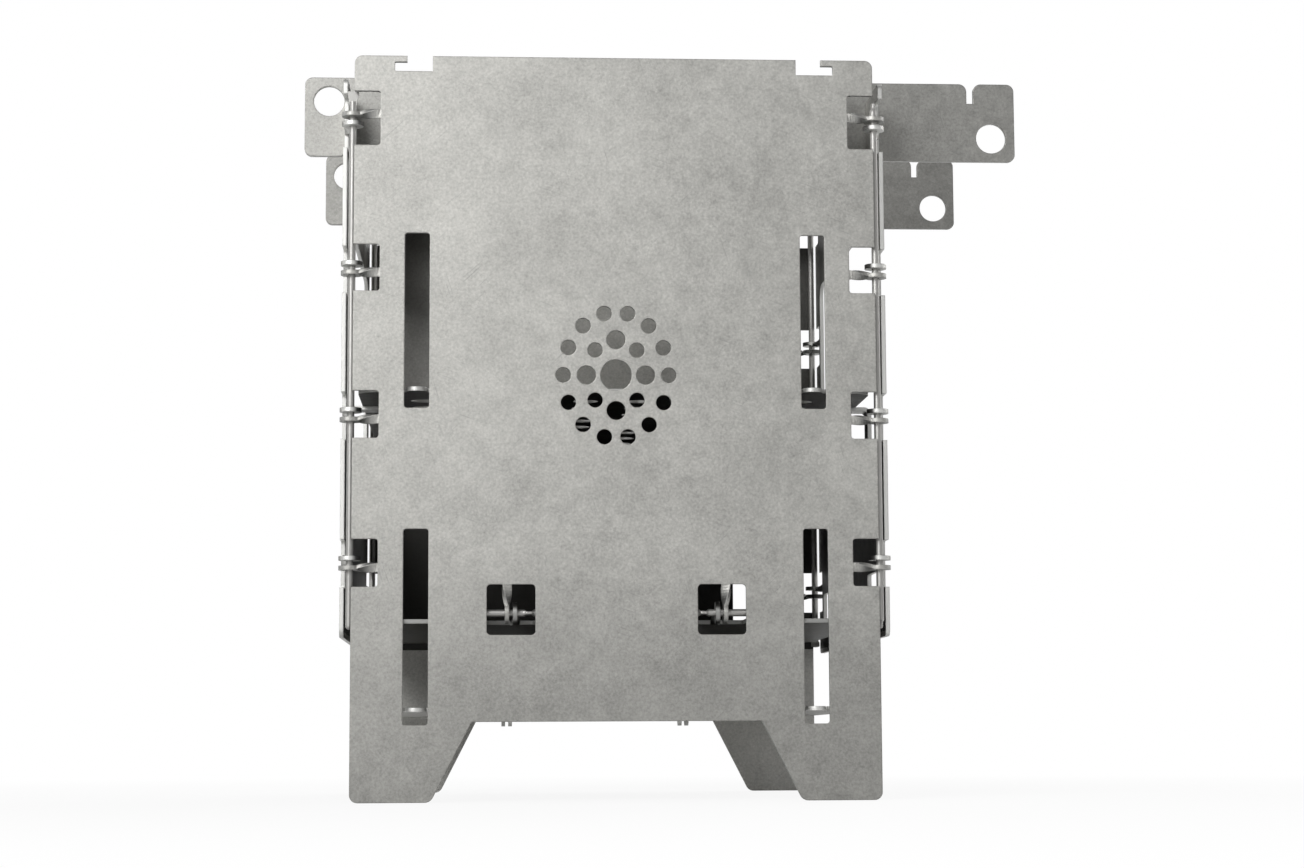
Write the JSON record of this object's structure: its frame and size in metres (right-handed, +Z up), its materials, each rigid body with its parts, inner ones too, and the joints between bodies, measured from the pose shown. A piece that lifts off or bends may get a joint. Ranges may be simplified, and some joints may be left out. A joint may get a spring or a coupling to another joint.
{
  "type": "folding wood stove",
  "caption": "Folding box stove of sheet steel with hinged walls on rods, hinged floor plates, a loose fire grate and hooked pot bars.",
  "frame": {"origin": "on the ground, midway between the four feet of the box", "axes": "+Z up, -Y the front wall with the vents, +X to the right as seen from the front, where the pot bars stand out as handles"},
  "size_m": [0.205, 0.1514, 0.2056],
  "materials": {
    "satin_steel": "satin stainless sheet with cloudy mottling",
    "rod_steel": "smooth drawn wire",
    "bar_steel": "satin stainless sheet"
  },
  "bodies": {
    "box": {"front_wall": "satin_steel", "back_wall": "satin_steel", "left_wall": "satin_steel", "right_wall": "satin_steel", "front_right_rod": "rod_steel", "back_left_rod": "rod_steel", "back_right_rod": "rod_steel", "floor_rod": "rod_steel", "ash_rod": "rod_steel"},
    "pull_rod": {"pull_rod": "rod_steel"},
    "floor_plate": {"floor_plate": "satin_steel"},
    "ash_plate": {"ash_plate": "satin_steel"},
    "fire_grate": {"fire_grate": "satin_steel"},
    "front_bar": {"front_bar": "bar_steel"},
    "rear_bar": {"rear_bar": "bar_steel"}
  },
  "joints": [
    {"name": "pull_rod_draw", "type": "slide", "parent": "box", "child": "pull_rod", "axis": [0, 0, 1], "range_m": [0, 0.15]},
    {"name": "floor_plate_hinge", "type": "hinge", "parent": "box", "child": "floor_plate", "pos_m": [0, -0.0725, 0.0509], "axis": [1, 0, 0], "range_deg": [0, 22]},
    {"name": "ash_plate_hinge", "type": "hinge", "parent": "box", "child": "ash_plate", "pos_m": [0, 0.0725, 0.0242], "axis": [-1, 0, 0], "range_deg": [-1.2, 8.5]},
    {"name": "fire_grate_lift", "type": "slide", "parent": "box", "child": "fire_grate", "axis": [0, 0, 1], "range_m": [0, 0.042]},
    {"name": "front_bar_lift", "type": "slide", "parent": "box", "child": "front_bar", "axis": [0, 0, 1], "range_m": [0, 0.04]},
    {"name": "rear_bar_lift", "type": "slide", "parent": "box", "child": "rear_bar", "axis": [0, 0, 1], "range_m": [0, 0.04]}
  ]
}
